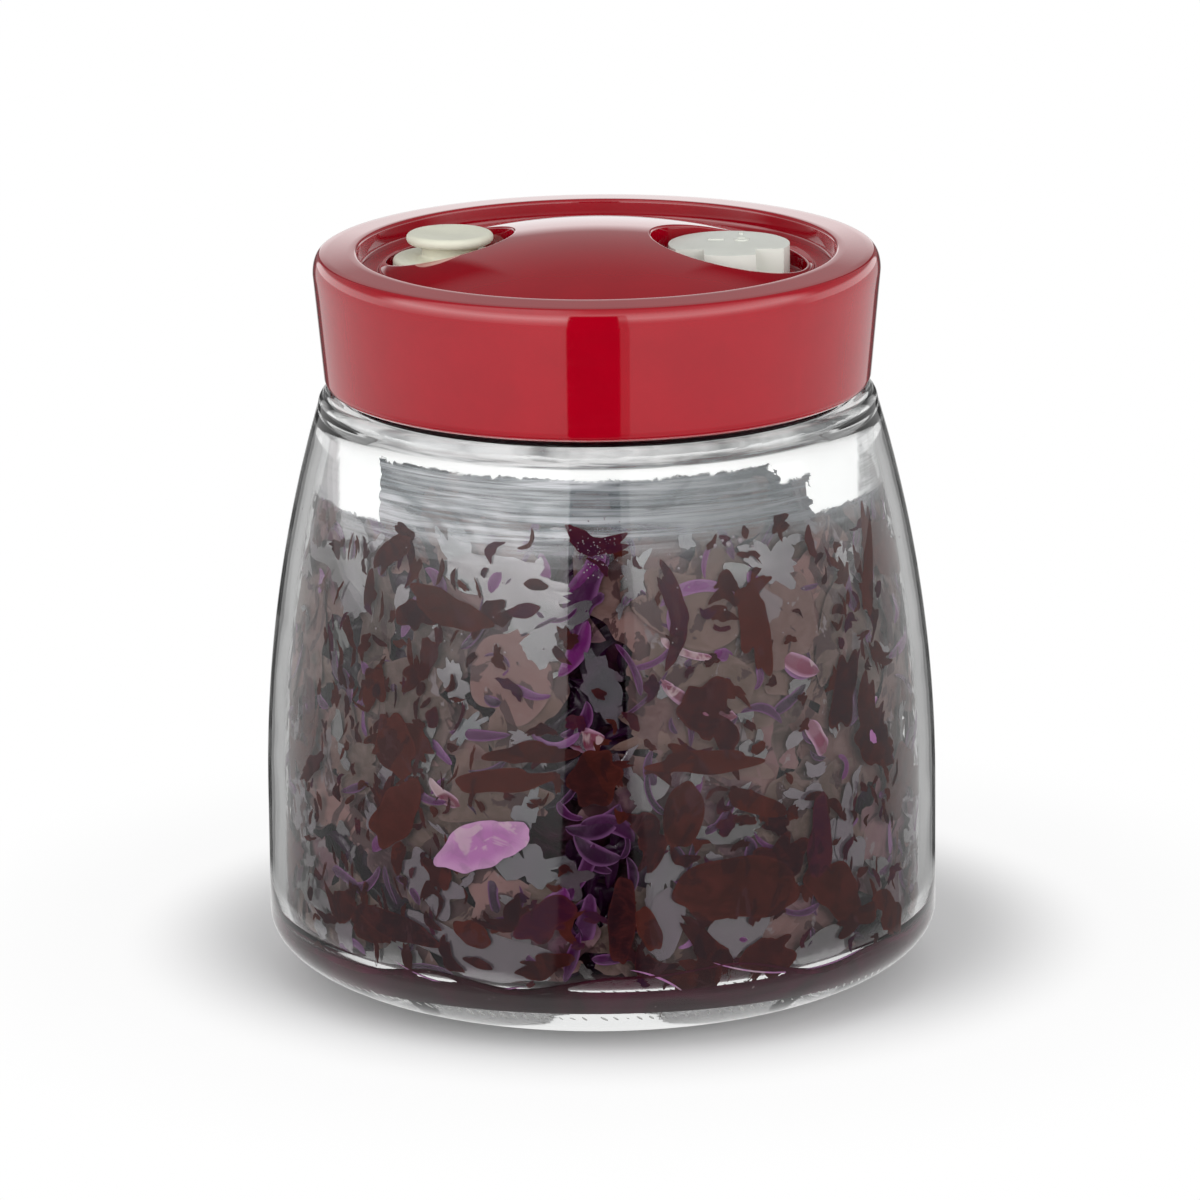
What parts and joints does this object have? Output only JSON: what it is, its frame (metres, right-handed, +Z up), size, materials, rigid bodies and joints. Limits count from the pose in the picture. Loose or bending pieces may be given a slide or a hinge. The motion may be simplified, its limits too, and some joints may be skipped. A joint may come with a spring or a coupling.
{
  "type": "fermentation jar",
  "caption": "Barrel-shaped glass fermentation jar packed with shredded red cabbage in brine, closed by a red plastic lid with a soft vent button and a valve knob.",
  "frame": {"origin": "middle of the jar's foot, on the surface it stands on", "axes": "+Z up along the jar's axis; -Y is the shown front; the vent button is on the -X side and the valve knob on the +X side"},
  "size_m": [0.135, 0.135, 0.1522],
  "materials": {
    "clear_glass": "clear pressed glass",
    "red_plastic": "gloss",
    "cream_silicone": "satin",
    "white_plastic": "satin",
    "red_cabbage": "wet",
    "brine": "wet"
  },
  "bodies": {
    "root": {"jar": "clear_glass", "lid": "red_plastic", "vent_button": "cream_silicone", "valve_knob": "white_plastic", "cabbage": "red_cabbage", "brine": "brine"}
  },
  "joints": []
}
